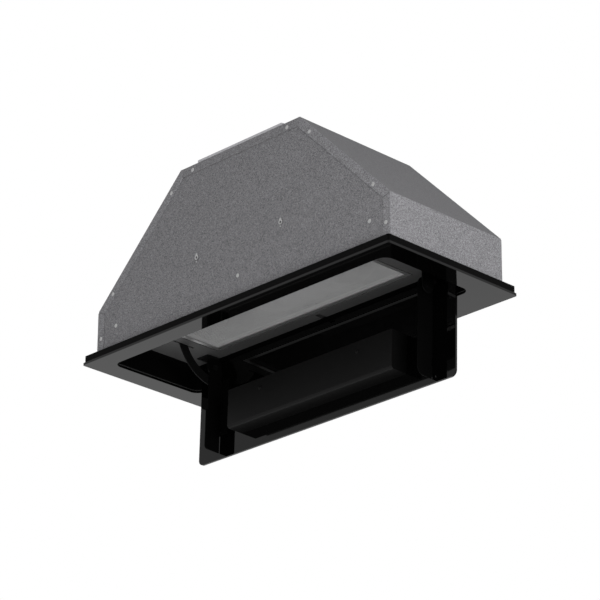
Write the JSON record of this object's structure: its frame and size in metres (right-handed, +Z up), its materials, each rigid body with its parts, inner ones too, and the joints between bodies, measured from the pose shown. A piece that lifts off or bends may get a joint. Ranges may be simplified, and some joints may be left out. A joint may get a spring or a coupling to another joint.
{
  "type": "range hood",
  "caption": "Built-in extractor hood with a glass frame, a drop-down suction flap on arms, a mesh grease filter and a double-inlet blower in a riveted casing.",
  "frame": {"origin": "centre of the four cabinet screws, on the pan's upper face that seats against the cabinet", "axes": "+X along the hood, +Y towards the flap's hinge side, +Z up into the cabinet"},
  "size_m": [0.7, 0.288, 0.459],
  "materials": {
    "frame_glass": "black back-painted float glass, polished",
    "foam": "closed-cell foam tape, dull",
    "black_steel": "black powder coat, satin",
    "galvanised": "hot-dip galvanised sheet, speckled",
    "recess_grey": "grey painted sheet, satin",
    "rivet_steel": "bright plated steel",
    "filter_steel": "fine expanded steel mesh in a folded border",
    "black_plastic": "fine-textured black moulding",
    "motor_grey": "die-cast shell, grey",
    "shaft_steel": "ground steel",
    "lamp_white": "opal diffuser",
    "white_plastic": "white moulding",
    "zinc": "zinc plated"
  },
  "bodies": {
    "root": {"glass_frame": "frame_glass", "foam_tape": "foam", "frame_pan": "black_steel", "cabinet_nuts": "zinc", "recess_liner": "black_steel", "ceiling_plate": "recess_grey", "near_panel": "galvanised", "far_panel": "galvanised", "left_end_panel": "galvanised", "right_end_panel": "galvanised", "top_plate": "galvanised", "near_rivets": "rivet_steel", "far_rivets": "rivet_steel", "hanging_plates": "rivet_steel", "outlet_plate": "galvanised", "duct_collar": "galvanised", "damper_pin": "shaft_steel", "scroll_band": "galvanised", "left_scroll_cheek": "galvanised", "right_scroll_cheek": "galvanised", "left_inlet_ring": "black_plastic", "right_inlet_ring": "black_plastic", "motor": "motor_grey", "motor_bracket": "zinc", "capacitor": "white_plastic", "control_box": "black_plastic", "control_lid": "black_plastic", "cable_gland": "black_plastic", "light_housing": "white_plastic", "light_diffuser": "lamp_white", "filter_frame": "filter_steel", "filter_mesh": "filter_steel", "filter_catch": "black_plastic", "left_hinge_bracket": "black_steel", "right_hinge_bracket": "black_steel", "left_hinge_pin": "black_steel", "right_hinge_pin": "black_steel", "bracket_screws": "black_steel", "drive_bracket": "zinc", "gear_motor": "black_plastic", "closing_buffers": "foam", "sealing_strips": "foam"},
    "flap": {"flap_glass": "frame_glass", "left_arm": "black_steel", "right_arm": "black_steel", "box_rail": "zinc", "flap_box": "black_steel", "box_screws": "black_steel"},
    "lever": {"curved_lever": "black_steel"},
    "crank": {"drive_crank": "zinc"},
    "rotor": {"impeller": "black_plastic", "motor_shaft": "shaft_steel"},
    "near_damper": {"near_damper": "black_plastic"},
    "far_damper": {"far_damper": "black_plastic"}
  },
  "joints": [
    {"name": "flap_hinge", "type": "hinge", "parent": "root", "child": "flap", "pos_m": [0, 0.0514, 0.0046], "axis": [-1, 0, 0], "range_deg": [0, 88.6]},
    {"name": "drive_spin", "type": "hinge", "parent": "root", "child": "crank", "pos_m": [0, -0.02364, 0.07706], "axis": [-1, 0, 0], "range_deg": [0, 88.6]},
    {"name": "lever_pivot", "type": "hinge", "parent": "flap", "child": "lever", "pos_m": [0, 0.05076, -0.02139], "axis": [-1, 0, 0], "range_deg": [-88.6, 0]},
    {"name": "rotor_spin", "type": "hinge", "parent": "root", "child": "rotor", "pos_m": [0, 0.002, 0.154], "axis": [1, 0, 0], "continuous": true},
    {"name": "near_damper_hinge", "type": "hinge", "parent": "root", "child": "near_damper", "pos_m": [0, 0.042, 0.2828], "axis": [-1, 0, 0], "range_deg": [0, 75]},
    {"name": "far_damper_hinge", "type": "hinge", "parent": "root", "child": "far_damper", "pos_m": [0, 0.042, 0.2828], "axis": [1, 0, 0], "range_deg": [0, 75]}
  ],
  "couplings": [
    {"joint": "drive_spin", "follows": "flap_hinge", "ratio": 1},
    {"joint": "lever_pivot", "follows": "flap_hinge", "ratio": -1}
  ]
}
